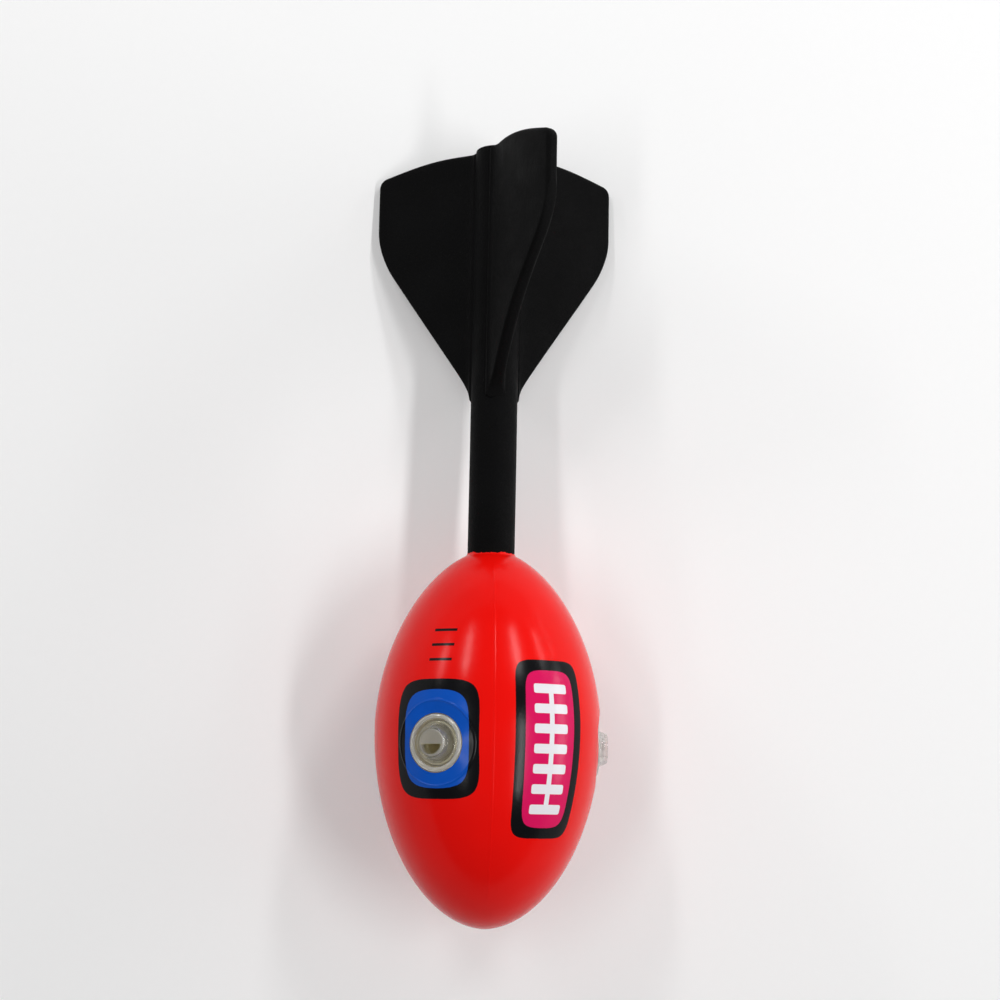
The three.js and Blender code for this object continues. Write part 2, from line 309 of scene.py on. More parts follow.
def head_radius(station):
    """Radius of the head's skin at stations."""
    head = sizes()[0]
    station = np.asarray(station, float)
    nose = np.clip((head.nose_length - station) / head.nose_length, 0, 1)
    rear = np.clip((station - head.nose_length) / head.rear_length, 0, 1)
    front = (1 - nose ** head.nose_power) ** head.nose_root
    back = (1 - rear ** head.rear_power) ** head.rear_root
    return head.radius * np.where(station < head.nose_length, front, back)


def head_rear():
    """Station of the head's rear edge, where its skin meets the stem."""
    head = sizes()[0]
    closed = (head.neck_radius / head.radius) ** (1 / head.rear_root)
    return head.nose_length + head.rear_length * (1 - closed) ** (1 / head.rear_power)


def head_stations():
    """Stations of the skin's rings, finest round the whistles."""
    head, whistle, _ = sizes()
    turn = np.linspace(0, 1, 4000)
    rear = head_rear()
    station = np.where(
        turn < 0.5, head.nose_length * (1 - np.cos(turn * pi)),
        head.nose_length + (rear - head.nose_length) * np.sin((turn - 0.5) * pi))
    steps = np.hypot(np.diff(station), np.diff(head_radius(station)))
    length = np.concatenate([[0], np.cumsum(steps)])
    close = near(station, whistle.station, whistle.land_radius, 3 * MM)
    chosen = spread(length, density(MM, 0.45 * MM, close))
    return np.interp(chosen, length, station)[1:]


def head_angles():
    """Angles of the skin's columns, finest round the whistles and at the two seams."""
    head, whistle, _ = sizes()
    angle = np.linspace(0, 2 * pi, 20000)
    coarse, fine = 1.1 * MM / head.radius, 0.45 * MM / head.radius
    at_seams = 0.16 * MM / head.radius
    reach, soft = (whistle.land_radius + MM) / head.radius, 3 * MM / head.radius
    wanted = [density(coarse, fine, near(from_centre(angle, centre), 0, reach, soft))
              for centre in whistle_angles()]
    wanted += [density(coarse, at_seams,
                       near(angle, centre, 3 * head.seam_width / head.radius, soft / 4))
               for centre in (0, pi, 2 * pi)]
    return spread(angle, np.max(wanted, axis=0))[:-1]


def whistle_angles():
    whistle = sizes()[1]
    return [whistle.first_angle + 2 * pi * i / whistle.count for i in range(whistle.count)]


def bore_radius():
    """Radius of the seat's bore for a flange."""
    whistle = sizes()[1]
    return whistle.rim_radius + whistle.clearance


def seat_frame(points, angle):
    """Across, along and height of points as seen from a whistle's own centre line."""
    across = points[:, 0] * cos(angle) - points[:, 2] * sin(angle)
    height = points[:, 0] * sin(angle) + points[:, 2] * cos(angle)
    return across, points[:, 1] - sizes()[1].station, height


def from_seat(across, along, height, angle):
    return np.stack([
        across * cos(angle) + height * sin(angle), along + sizes()[1].station,
        -across * sin(angle) + height * cos(angle)], axis=1)


def seat_circle(radius, height, turn, angle):
    """Points at angles round a whistle's centre line."""
    return from_seat(
        radius * np.sin(turn), radius * np.cos(turn), np.full(len(turn), height), angle)


def dish(points, angle):
    """Presses a whistle's land into the skin and brings the nearest points onto the flange's
    bore. Returns the points, which lie on the bore's edge, their distances from the whistle's
    centre line, and which are on the head's far side."""
    whistle = sizes()[1]
    across, along, height = seat_frame(points, angle)
    distance = np.hypot(across, along)
    outside = height < 0
    bore = bore_radius()
    on_bore = (np.abs(distance - bore) < 0.3 * MM) & ~outside
    factor = np.where(on_bore, bore / np.maximum(distance, 1e-9), 1)
    across, along = across * factor, along * factor
    distance = np.maximum(np.hypot(across, along), 1e-9)
    surface = np.sqrt(np.maximum(head_radius(along + whistle.station) ** 2 - across ** 2, 0))
    side, ahead = (whistle.land_radius * part / distance for part in (across, along))
    edge = np.sqrt(np.maximum(head_radius(whistle.station + ahead) ** 2 - side ** 2, 0))
    share = np.clip((distance - bore) / (whistle.land_radius - bore), 0, 1.2)
    floor = whistle.seat_radius + (edge - whistle.seat_radius) * share
    soft = 1.1 * MM
    weight = np.clip((whistle.land_radius + soft / 2 - distance) / soft, 0, 1)
    weight = weight * weight * (3 - 2 * weight)
    moved = from_seat(across, along, surface + (floor - surface) * weight, angle)
    touched = (distance < whistle.land_radius + MM) & ~outside
    return np.where(touched[:, None], moved, points), on_bore, distance, outside


def skin_faces(rows, count, on_bore, inside):
    """Faces of the skin without those over a flange's bore. A quad that the bore's edge crosses
    is split along that edge."""
    faces = []
    for a, b, c, d in ring_faces(rows, count):
        if on_bore[a] and on_bore[c]:
            parts = [(a, b, c), (a, c, d)]
        elif on_bore[b] and on_bore[d]:
            parts = [(a, b, d), (b, c, d)]
        else:
            parts = [(a, b, c, d)]
        faces += [part for part in parts if not all(inside[i] or on_bore[i] for i in part)]
    return faces


def bore_edge(points, faces, angle):
    """The skin's ring of points round a flange's bore, in order, brought onto the seat's circle.
    Returns the moved points, the ring and the angles of its points round the whistle."""
    bore = bore_radius()
    across, along, height = seat_frame(points, angle)
    distance = np.where(height > 0, np.hypot(across, along), 1)
    close, edge = distance < bore + 2 * MM, distance < bore + 0.8 * MM
    sides = {(face[i - 1], face[i]) for face in faces if close[face[0]] or close[face[2]]
             for i in range(len(face))}
    following = {a: b for a, b in sides if edge[a] and edge[b] and (b, a) not in sides}
    ring = [min(following)]
    while following[ring[-1]] != ring[0]:
        ring.append(following[ring[-1]])
    if len(ring) != len(following):
        raise RuntimeError("The edge of a whistle's bore isn't one ring")
    turn = np.arctan2(across[ring], along[ring])
    points[ring] = seat_circle(bore, sizes()[1].seat_radius, turn, angle)
    return points, ring, turn


def seat_lining(turn, angle):
    """Cut foam under a whistle, row by row from the seat's edge to the bottom's centre: the
    flange's ledge and the cup's bore."""
    whistle = sizes()[1]
    flange, cup = bore_radius(), whistle.cup_radius + whistle.clearance
    ledge, bevel = whistle.seat_radius - 1.5 * MM, 0.3 * MM
    bottom = whistle.seat_radius - whistle.cup_depth - whistle.clearance
    profile = [(flange, ledge + bevel), (flange - bevel, ledge), (cup + bevel, ledge),
               (cup, ledge - bevel), (cup, bottom), (cup * 0.5, bottom)]
    rows = [seat_circle(radius, height, turn, angle) for radius, height in profile]
    centre = seat_circle(0, bottom, np.zeros(1), angle)
    return np.vstack(rows + [centre]), len(profile)


def stem_root():
    """Station of the stem's inner end, and its wider root's radius, length and slope."""
    return head_rear() - sizes()[2].stem_buried, 12.5 * MM, 9 * MM, 6 * MM


def neck_rings(angles, rear):
    """Rings past the rear edge: a ragged film of skin that clings to the stem, turned back in, and
    the bore that holds the stem and its root."""
    head, whistle, tail = sizes()
    rng = np.random.default_rng(7)
    waves = sum(
        np.cos(k * angles + rng.uniform(0, 2 * pi)) * rng.uniform(0.3, 1) / k ** 0.25
        for k in (3, 5, 9, 14, 22, 31, 43, 60))
    ragged = np.clip(waves, -1.2, 2.4) * 0.22 * MM
    film, inner = tail.stem_radius + 0.14 * MM, tail.stem_radius - 0.2 * MM
    start, root, length, slope = stem_root()
    gap = whistle.clearance
    return [
        ((head.neck_radius + film) / 2, rear + 0.28 * MM + 0.2 * ragged),
        (film + 0.12 * MM, rear + 0.5 * MM + 0.7 * ragged),
        (film, rear + 0.75 * MM + ragged), (inner, rear + 0.6 * MM + ragged),
        (inner, rear - 3 * MM), (tail.stem_radius + gap, rear - 4 * MM),
        (tail.stem_radius + gap, start + length + slope), (root + gap, start + length),
        (root + gap, start - gap), (root / 2, start - gap),
    ]


def head_points():
    """Points of the skin, ring by ring, with the seams' ridge and the ragged neck."""
    head = sizes()[0]
    stations, angles = head_stations(), head_angles()
    radius, rear = head_radius(stations)[:, None], stations[-1]
    off_nose, rise, fall = 8 * MM, 14 * MM, 10 * MM
    strength = np.clip((stations - off_nose) / rise, 0, 1) * np.clip((rear - stations) / fall, 0, 1)
    for seam in (0, pi):
        offset = radius * from_centre(angles, seam)
        ridge = np.exp(-((offset / head.seam_width) ** 2))
        radius = radius + head.seam_height * ridge * strength[:, None]
    rows = [*zip(radius, stations), *neck_rings(angles, rear)]
    points = np.concatenate([
        np.stack(np.broadcast_arrays(r * np.sin(angles), s, r * np.cos(angles)), axis=1)
        for r, s in rows])
    return points, len(rows), len(angles)


# Finishes

class Value:
    """What a node gives, a number or a colour. Arithmetic with it adds Math nodes."""

    def __init__(self, socket):
        self.socket, self.tree = socket, socket.id_data

    def __add__(self, other):
        return maths("ADD", self, other)

    def __sub__(self, other):
        return maths("SUBTRACT", self, other)

    def __rsub__(self, other):
        return maths("SUBTRACT", other, self)

    def __mul__(self, other):
        return maths("MULTIPLY", self, other)

    def __truediv__(self, other):
        return maths("DIVIDE", self, other)

    def __abs__(self):
        return maths("ABSOLUTE", self)

    def wrap(self, half):
        """The number brought to within half a turn or pitch of zero."""
        return maths("WRAP", self, half, -half)


def plug(given, socket):
    """Gives a socket a number, a colour or what another node gives."""
    if isinstance(given, Value):
        given.tree.links.new(given.socket, socket)
    else:
        socket.default_value = given


def maths(operation, *values):
    tree = next(value.tree for value in values if isinstance(value, Value))
    node = tree.nodes.new("ShaderNodeMath")
    node.operation = operation
    for value, socket in zip(values, node.inputs):
        plug(value, socket)
    return Value(node.outputs[0])


def hypotenuse(a, b):
    return maths("SQRT", a * a + b * b)


def ranged(value, low, high, to_low, to_high, smooth=False):
    """A value carried from one range to another."""
    node = value.tree.nodes.new("ShaderNodeMapRange")
    node.interpolation_type = "SMOOTHSTEP" if smooth else "LINEAR"
    names = ("Value", "From Min", "From Max", "To Min", "To Max")
    for name, given in zip(names, (value, low, high, to_low, to_high)):
        plug(given, node.inputs[name])
    return Value(node.outputs["Result"])


def mixed(factor, first, second):
    """A colour between two."""
    node = factor.tree.nodes.new("ShaderNodeMix")
    node.data_type = "RGBA"
    for index, given in ((0, factor), (6, first), (7, second)):
        plug(given, node.inputs[index])
    return Value(node.outputs[2])


def toned(colour, factor):
    return (*(part * factor for part in colour[:3]), 1)


class Finish:
    """A node material in the making. Its places are the toy's own, or the object's."""

    def __init__(self, name, on_toy=True):
        self.material = bpy.data.materials.new(name)
        self.material.use_nodes = True
        self.tree = self.material.node_tree
        self.shader = self.tree.nodes["Principled BSDF"]
        if on_toy:
            node = self.node("ShaderNodeAttribute")
            node.attribute_name = "toy_place"
            self.place = Value(node.outputs["Vector"])
        else:
            self.place = Value(self.node("ShaderNodeTexCoord").outputs["Object"])

    def node(self, kind):
        return self.tree.nodes.new(kind)

    def parts(self):
        """Place across the toy, its station and its height."""
        node = self.node("ShaderNodeSeparateXYZ")
        plug(self.place, node.inputs[0])
        return [Value(socket) for socket in node.outputs]

    def texture(self, kind, output, **given):
        node = self.node(kind)
        for name, value in {"Vector": self.place, **given}.items():
            plug(value, node.inputs[name])
        return Value(node.outputs[output])

    def noise(self, scale, detail=2, roughness=0.5):
        return self.texture(
            "ShaderNodeTexNoise", "Fac", Scale=scale, Detail=detail, Roughness=roughness)

    def cells(self, scale):
        """Distance from the nearest of many scattered points, for pores."""
        return self.texture("ShaderNodeTexVoronoi", "Distance", Scale=scale)

    def bump(self, height, distance):
        node = self.node("ShaderNodeBump")
        plug(distance, node.inputs["Distance"])
        plug(height, node.inputs["Height"])
        plug(Value(node.outputs["Normal"]), self.shader.inputs["Normal"])

    def done(self, given):
        """Sets the shader's sockets and returns the material."""
        for name, value in given.items():
            plug(value, self.shader.inputs[name])
        return self.material


def printed_colour(skin, colours):
    """Colour of the printed skin, in mirror pairs on both sides of the second whistle: a magenta
    panel with white laces, then a blue panel round the next whistle, with three short bars."""
    whistle = sizes()[1]
    across, station, up = skin.parts()
    around, radius = maths("ARCTAN2", across, up), hypotenuse(across, up)
    wobble = (skin.noise(900, 3) - 0.5) * (0.18 * MM)
    step = 2 * pi / whistle.count
    aside = abs((around - (whistle.first_angle + step)).wrap(pi))
    from_whistle, from_gap = ((aside - angle) * radius for angle in (step, step / 2))

    def room(half, value):
        return half - abs(value) + wobble

    def over(below, depth, above):
        """A printed shape where its depth is above zero, with a fine soft edge."""
        return mixed(ranged(depth, -0.05 * MM, 0.05 * MM, 0, 1), below, above)

    ink = skin.noise(260, 4) * 0.5
    colour = mixed(ranged(skin.noise(45, 3), 0.2, 0.8, 0, 1),
                   toned(colours.red_skin, 0.94), colours.red_skin)

    outline = 3.8 * MM
    half_width, half_length, corner = 17 * MM, 21.5 * MM, 16 * MM
    along = station - (whistle.station + 1.5 * MM)
    depth = maths("SMOOTH_MIN", room(half_width, from_whistle), room(half_length, along), corner)
    colour = over(colour, depth, colours.black_print)
    blue = mixed(ink, toned(colours.blue_print, 1.12), toned(colours.blue_print, 0.86))
    colour = over(colour, depth - outline, blue)

    half_turn, half_length, corner, middle = radians(19.5), 32 * MM, 9 * MM, 66 * MM
    along, half_width = station - middle, radius * half_turn
    depth = maths("SMOOTH_MIN", room(half_width, from_gap), room(half_length, along), corner)
    colour = over(colour, depth, colours.black_print)
    magenta = mixed(ink, toned(colours.magenta_print, 1.1), toned(colours.magenta_print, 0.9))
    colour = over(colour, depth - outline, magenta)

    pitch, lace, spine, corner, crossings = 7.2 * MM, 1.7 * MM, MM, 1.4 * MM, 7
    in_row = (crossings - 1) / 2 * pitch + lace - abs(along)
    laces = maths("SMOOTH_MIN", lace - abs(along.wrap(pitch / 2)), half_width * 0.5 - abs(from_gap),
                  corner)
    laces = maths("MINIMUM", maths("MAXIMUM", laces, spine - abs(from_gap)), in_row)
    colour = over(colour, laces, colours.white_print)

    pitch, half_bar, half_length, reach, middle = 5.5 * MM, 0.5 * MM, 4.6 * MM, 8 * MM, 103 * MM
    along = station - middle
    bars = maths("MINIMUM", half_bar - abs(along.wrap(pitch / 2)), reach - abs(along))
    bars = maths("MINIMUM", bars, half_length - abs(from_whistle))
    return over(colour, bars, colours.black_print)


def land_lip(skin):
    """Fine raised lip where the moulded land meets the skin, from 0 to 1."""
    whistle = sizes()[1]
    side, station, up = skin.parts()
    turn = (maths("ARCTAN2", side, up) - whistle.first_angle).wrap(pi / whistle.count)
    across = hypotenuse(side, up) * maths("SINE", turn)
    distance = hypotenuse(across, station - whistle.station)
    off = (distance - whistle.land_radius) / (0.35 * MM)
    return maths("EXPONENT", off * off * -1)


def skin_finish(colours):
    """Glossy self-skinned foam with its print and a fine orange-peel skin."""
    skin = Finish("printed_red_skin")
    skin.bump(skin.noise(1100, 3, 0.6) * 0.35 + skin.noise(130, 2) + land_lip(skin) * 4, 0.05 * MM)
    return skin.done({
        "Base Color": printed_colour(skin, colours),
        "Roughness": ranged(skin.noise(70, 4), 0.2, 0.8, 0.17, 0.23),
        "IOR": 1.23, "Specular IOR Level": 0.5})


def raw_foam_finish(colours):
    """Cut foam: pale open cells with dark pores."""
    foam = Finish("raw_foam")
    cells = foam.cells(1500)
    blotches = ranged(foam.noise(300, 4), 0.3, 0.7, 0.75, 1.1)
    foam.bump(cells, 0.25 * MM)
    return foam.done({
        "Base Color": mixed(ranged(cells, 0.1, 0.6, 0, 1) * blotches,
                            toned(colours.raw_foam, 1.15), toned(colours.raw_foam, 0.72)),
        "Roughness": 0.9})


def black_foam_finish(colours):
    """Matte black foam with fine pores and a faint bloom."""
    foam = Finish("black_foam")
    bloom = ranged(foam.noise(60, 5, 0.65), 0.35, 0.75, 0, 1)
    foam.bump(foam.cells(1900) + foam.noise(500, 3) * 0.8, 0.12 * MM)
    return foam.done({
        "Base Color": mixed(bloom, colours.black_foam, toned(colours.black_foam, 2.2)),
        "Roughness": ranged(foam.noise(120, 3), 0.3, 0.7, 0.5, 0.64),
        "IOR": 1.3, "Specular IOR Level": 0.1})


def clear_finish(name, colour, roughness, transmission):
    """Clear moulded plastic with faint flow marks."""
    plastic = Finish(name)
    marks = plastic.noise(180, 3)
    plastic.bump(marks, 0.05 * MM)
    return plastic.done({
        "Base Color": mixed(marks, colour, toned(colour, 0.93)), "Roughness": roughness,
        "IOR": 1.59, "Specular IOR Level": 1, "Coat Weight": 1, "Coat Roughness": 0.08,
        "Coat IOR": 1.8, "Transmission Weight": transmission, "Alpha": 0.7})


def cup_finish(colours):
    """Milky plastic of the cups."""
    plastic = Finish("milky_cup_plastic")
    clouds = plastic.noise(220, 3)
    return plastic.done({
        "Base Color": mixed(clouds, colours.cup_plastic, toned(colours.cup_plastic, 0.88)),
        "Roughness": 0.3, "Transmission Weight": 0.25})


def floor_finish(colours):
    """Plain pale floor. The camera, gloss and clear plastic see it a little brighter further
    out, so that it ends in a pale background."""
    floor = Finish("pale_floor", on_toy=False)
    rays = floor.node("ShaderNodeLightPath").outputs
    shown = Value(rays["Is Camera Ray"])
    for name in ("Is Glossy Ray", "Is Transmission Ray"):
        shown = maths("MAXIMUM", shown, Value(rays[name]))
    away = floor.node("ShaderNodeVectorMath")
    away.operation = "LENGTH"
    plug(floor.place, away.inputs[0])
    glow = ranged(Value(away.outputs["Value"]), 0.4, 1.6, 0.14, 0.6, smooth=True)
    return floor.done({
        "Base Color": mixed(floor.noise(300, 2), colours.floor, toned(colours.floor, 0.98)),
        "Roughness": 0.8, "Emission Color": (1, 1, 1, 1), "Emission Strength": shown * glow})


# Fins

def blade_span():
    """Distance of a fin's hinge line from the axis, and the blade's width beyond it."""
    tail = sizes()[2]
    hinge = tail.stem_radius - tail.hinge_depth
    return hinge, tail.fin_reach - hinge


def fin_edge(distance, root, corner, radius, side, bow):
    """Station of a fin's leading or trailing edge at a distance from the axis."""
    tail = sizes()[2]
    width = tail.fin_reach - tail.stem_radius
    slant = side * (corner - root)
    length = hypot(slant, width)
    tangent = radius / tan(acos(slant / length) / 2)
    straight_end = tail.fin_reach - tangent * width / length
    if distance > straight_end:
        rise = min(max(distance - tail.fin_reach + radius, 0), radius)
        return corner + side * (sqrt(max(radius ** 2 - rise ** 2, 0)) - tangent)
    out = max(0, distance - tail.stem_radius)
    swell = bow * sin(pi * min(out / (straight_end - tail.stem_radius), 1))
    return root + side * (slant * out / width + swell)


def fin_half(along):
    """Half the blade's thickness at a distance from the hinge line."""
    tail = sizes()[2]
    half, edge = tail.fin_thickness / 2, tail.fin_edge_radius
    into = min(max(along - (blade_span()[1] - edge), 0), edge)
    fillet = tail.root_fillet * exp(-max(along - tail.hinge_depth, 0) / (1.1 * MM))
    return half - edge + sqrt(max(edge ** 2 - into ** 2, 0)) + fillet


def fin_stations():
    """Distances of a blade's sections from the hinge line, closest at its root and its edge."""
    blade, edge = blade_span()[1], 6 * MM
    root = np.array([-1.2, -0.4, 0.5, 0.9, 1.4, 2.0, 2.8, 3.8, 5.0]) * MM
    middle = np.linspace(6.5 * MM, blade - edge, 22)
    tip = blade - edge + edge * np.sin(np.linspace(0, pi / 2, 22)[1:])
    return np.concatenate([root, middle, tip])


def fin_ring(along, tail_station, curl_radius, wave):
    """One section of a blade, flat with rounded edges, as (out, station, across) points."""
    tail = sizes()[2]
    distance = blade_span()[0] + along
    corner = tail_station - tail.fin_rake
    fillet = 2.6 * MM * exp(-max(along - tail.hinge_depth, 0) / (1.6 * MM))
    lead = fin_edge(distance, tail_station - tail.fin_root_length, corner - tail.fin_tip_length,
                    tail.fin_knee_radius, -1, 0) - fillet
    trail = fin_edge(distance, tail_station, corner, tail.fin_corner_radius, 1, tail.fin_rear_bow)
    half = fin_half(along)
    rounding = min(tail.fin_edge_radius, 0.85 * half)
    rounded = [(rounding * (1 - sin(a)), half - rounding + rounding * cos(a))
               for a in np.linspace(0, pi / 2, 6)]
    section = []
    for side, start, stop in ((1, trail, lead), (-1, lead, trail)):
        flat = np.linspace(start - side * rounding, stop + side * rounding, 18)[1:-1]
        section += [(start - side * inset, side * up) for inset, up in rounded[::-1]]
        section += [(station, side * half) for station in flat]
        section += [(stop + side * inset, side * up) for inset, up in rounded]
    turn = max(0, along) / curl_radius
    out = curl_radius * sin(turn) + min(0, along)
    drop = curl_radius * (cos(turn) - 1)
    ring = []
    for station, across in section:
        shift = wave(station, along) + across
        ring.append((out + shift * sin(turn), station, drop + shift * cos(turn)))
    return ring


def fin_points(fin, tail_station):
    """Toy-frame points of a fin, section by section from its root to its tip."""
    hinge, blade = blade_span()
    lean, angle = radians(fin["lean"]), radians(fin["angle"])
    height, rise, fall = 0.35 * MM, 20 * MM, 12 * MM

    def wave(station, along):
        grow = min(max(min(along / rise, (blade - along) / fall), 0), 1)
        return grow * height * sin(station / (17 * MM) + angle) * cos(along / (21 * MM) + angle)

    rings = [fin_ring(along, tail_station, fin["curl_radius"], wave) for along in fin_stations()]
    count = len(rings[0])
    points = np.array([point for ring in rings for point in ring])
    out = points[:, 0] * cos(lean) + points[:, 2] * sin(lean) + hinge
    across = points[:, 2] * cos(lean) - points[:, 0] * sin(lean)
    placed = np.stack([
        out * sin(angle) - across * cos(angle), points[:, 1],
        out * cos(angle) + across * sin(angle)], axis=1)
    faces = ring_faces(len(rings), count)
    last = (len(rings) - 1) * count
    faces += [tuple(range(count)), tuple(range(last + count - 1, last - 1, -1))]
    return placed, faces


# Whistles

def cap_profile():
    """Section of a whistle cap as (radius, height above the seat plane)."""
    whistle = sizes()[1]
    rim, rim_width = whistle.rim_radius, 1.7 * MM
    floor_top, floor_under, spigot_end = -0.3 * MM, -1.2 * MM, 3 * MM
    base, top, height, wall = 7.35 * MM, 5.8 * MM, 4.2 * MM, 0.9 * MM
    roof, foot, shoulder = height - wall, 0.35 * MM, 0.55 * MM
    spigot = whistle.cup_radius - 1.1 * MM - whistle.clearance
    spigot_bore = spigot - MM
    bead = [(rim - rim_width / 2 + rim_width / 2 * cos(a),
             0.05 * MM + 0.65 * MM * sin(a)) for a in np.linspace(0, pi, 13)]
    return [
        (0, roof), ((top - wall) * 0.5, roof), (top - wall - 0.3 * MM, roof),
        (top - wall, roof - 0.3 * MM), (spigot_bore, floor_under),
        (spigot_bore, floor_under - spigot_end), (spigot - 0.2 * MM, floor_under - spigot_end),
        (spigot, floor_under - 2.8 * MM), (spigot, floor_under), (rim - 0.2 * MM, floor_under),
        (rim, floor_under + 0.2 * MM), *bead, (rim - rim_width, floor_top + 0.15 * MM),
        (rim - rim_width - 0.15 * MM, floor_top),
        *arc((base + foot, floor_top + foot), foot, 270, 180, 6),
        *arc((top - shoulder, height - shoulder), shoulder, 8, 90, 8),
        ((top - shoulder) * 0.5, height), (0, height),
    ]


def cap_material(reach, height):
    """Which plastic a face of the cap has: frosted under the roof, the rim's on the bead, or
    clear."""
    roof_reach, low, high, bead_reach = 5 * MM, 2.9 * MM, 3.6 * MM, 8.6 * MM
    if reach.max() < roof_reach and low < height.mean() < high:
        return 1
    return 2 if reach.min() > bead_reach else 0


def cut_window(cap, angle):
    """Cuts the D-shaped sound window through a turret's roof."""
    seat = sizes()[1].seat_radius
    radius, offset = 4.2 * MM, 0.5 * MM
    reach = acos(offset / radius)
    outline = [(-radius * sin(a), -radius * cos(a)) for a in np.linspace(-reach, reach, 40)]
    count = len(outline)
    points = np.array([(x, y, seat + height) for height in (2.6 * MM, 5 * MM) for x, y in outline])
    placed = from_seat(points[:, 0], points[:, 1], points[:, 2], angle)
    faces = ring_faces(2, count) + [tuple(range(count)), tuple(range(2 * count - 1, count - 1, -1))]
    cutter = mesh_object("window_cutter", row_points(placed).tolist(), faces)
    tidy_mesh(cutter)
    modifier = cap.modifiers.new("window", "BOOLEAN")
    modifier.operation, modifier.solver, modifier.object = "DIFFERENCE", "EXACT", cutter
    evaluated = cap.evaluated_get(bpy.context.evaluated_depsgraph_get())
    cap.data = bpy.data.meshes.new_from_object(evaluated)
    cap.modifiers.clear()
    bpy.data.objects.remove(cutter)
    smooth_faces(cap.data)


def cup_profile():
    """Section of a whistle cup as (radius, height above the seat plane)."""
    whistle = sizes()[1]
    radius, wall, corner = whistle.cup_radius, 1.1 * MM, 0.6 * MM
    bottom, top = -whistle.cup_depth, -1.5 * MM
    return [
        (0, bottom), (radius * 0.5, bottom), *arc((radius - MM, bottom + MM), MM, -90, 0, 6),
        (radius, top), (radius - wall, top), (radius - wall, bottom + wall + corner),
        (radius - wall - corner, bottom + wall), (0, bottom + wall),
    ]


def on_seat(points, angle):
    """Points turned round Y, set on a whistle's centre line with Y as the height."""
    return from_seat(points[:, 0], -points[:, 2], points[:, 1] + sizes()[1].seat_radius, angle)


# Stage

def photo_camera(stage):
    """Camera matrix that gives the photograph's view."""
    toward = (UP * cos(stage.turn) - RIGHT * sin(stage.turn)).normalized()
    beside = AXIS.cross(toward)
    forward = AXIS * sin(stage.incline) - toward * cos(stage.incline)
    lean = sin(stage.roll) * cos(stage.incline)
    rise = tan(stage.incline) * lean
    across = AXIS * lean + toward * rise + beside * sqrt(1 - lean ** 2 - rise ** 2)
    upward = across.cross(forward)
    per_pixel = stage.distance / stage.focal_pixels
    centre = PHOTO_PIXELS / 2
    matrix = Matrix((across, upward, -forward)).transposed().to_4x4()
    matrix.translation = (
        NOSE + AXIS * stage.aim_station - forward * stage.distance
        - across * (stage.aim_column - centre) * per_pixel
        + upward * (stage.aim_row - centre) * per_pixel)
    return matrix


def lamp(name, width, length, power, beam, place, away):
    """A soft box at a place, its back turned away from the toy and its length along it."""
    data = bpy.data.lights.new(name, "AREA")
    data.shape, data.size, data.size_y = "RECTANGLE", width, length
    data.energy = power
    data.spread = radians(beam)
    made = bpy.data.objects.new(name, data)
    bpy.context.scene.collection.objects.link(made)
    beside = AXIS.cross(away).normalized()
    made.matrix_world = Matrix((beside, away.cross(beside), away)).transposed().to_4x4()
    made.location = place


def floor_object():
    """A round floor that curves up into a wall far behind the toy."""
    count = 96
    angles = np.linspace(0, 2 * pi, count, endpoint=False)
    cove = [(5, 1.9), *arc((3.5, 1.5), 1.5, 0, -90, 16), (1.5, 0), (0.5, 0)]
    points = [(radius * cos(a), radius * sin(a), height) for radius, height in cove for a in angles]
    innermost = (len(cove) - 1) * count
    faces = ring_faces(len(cove), count) + [tuple(range(innermost, innermost + count))]
    floor = mesh_object("floor", points, faces)
    floor.data.shade_smooth()
    return floor


# Operators

class TOY_OT_foam_head(Operator):
    """Makes the printed foam head with its whistle seats, seams and ragged neck"""

    bl_idname = "toy.foam_head"
    bl_label = "Foam head"

    def execute(self, context):
        colours = context.scene.toy_colours
        points, rows, count = head_points()
        on_bore, inside = np.zeros((2, len(points)), bool)
        for angle in whistle_angles():
            points, snapped, distance, far = dish(points, angle)
            on_bore |= snapped
            inside |= (distance < bore_radius()) & ~far
        faces = skin_faces(rows, count, on_bore, inside)
        nose = len(points)
        inner_end = stem_root()[0] - context.scene.toy_whistle.clearance
        points = np.vstack([points, [[0, 0, 0], [0, inner_end, 0]]])
        faces += fan(nose, range(count)) + fan(nose + 1, range(nose - 1, nose - 1 - count, -1))
        skin = len(faces)
        for angle in whistle_angles():
            points, ring, turn = bore_edge(points, faces[:skin], angle)
            lining, lining_rows = seat_lining(turn, angle)
            first, around = len(points), len(ring)
            points = np.vstack([points, lining])
            faces += [(ring[i - 1], ring[i], first + i, first + (i - 1) % around)
                      for i in range(around)]
            faces += ring_faces(lining_rows, around, first)
            centre = len(points) - 1
            faces += fan(centre, range(centre - around, centre))
        head = piece("foam_head_skin", points, faces,
                     [skin_finish(colours), raw_foam_finish(colours)],
                     [0] * skin + [1] * (len(faces) - skin))
        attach(head, ROOT_BODY)
        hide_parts("foam_head")
        return {"FINISHED"}


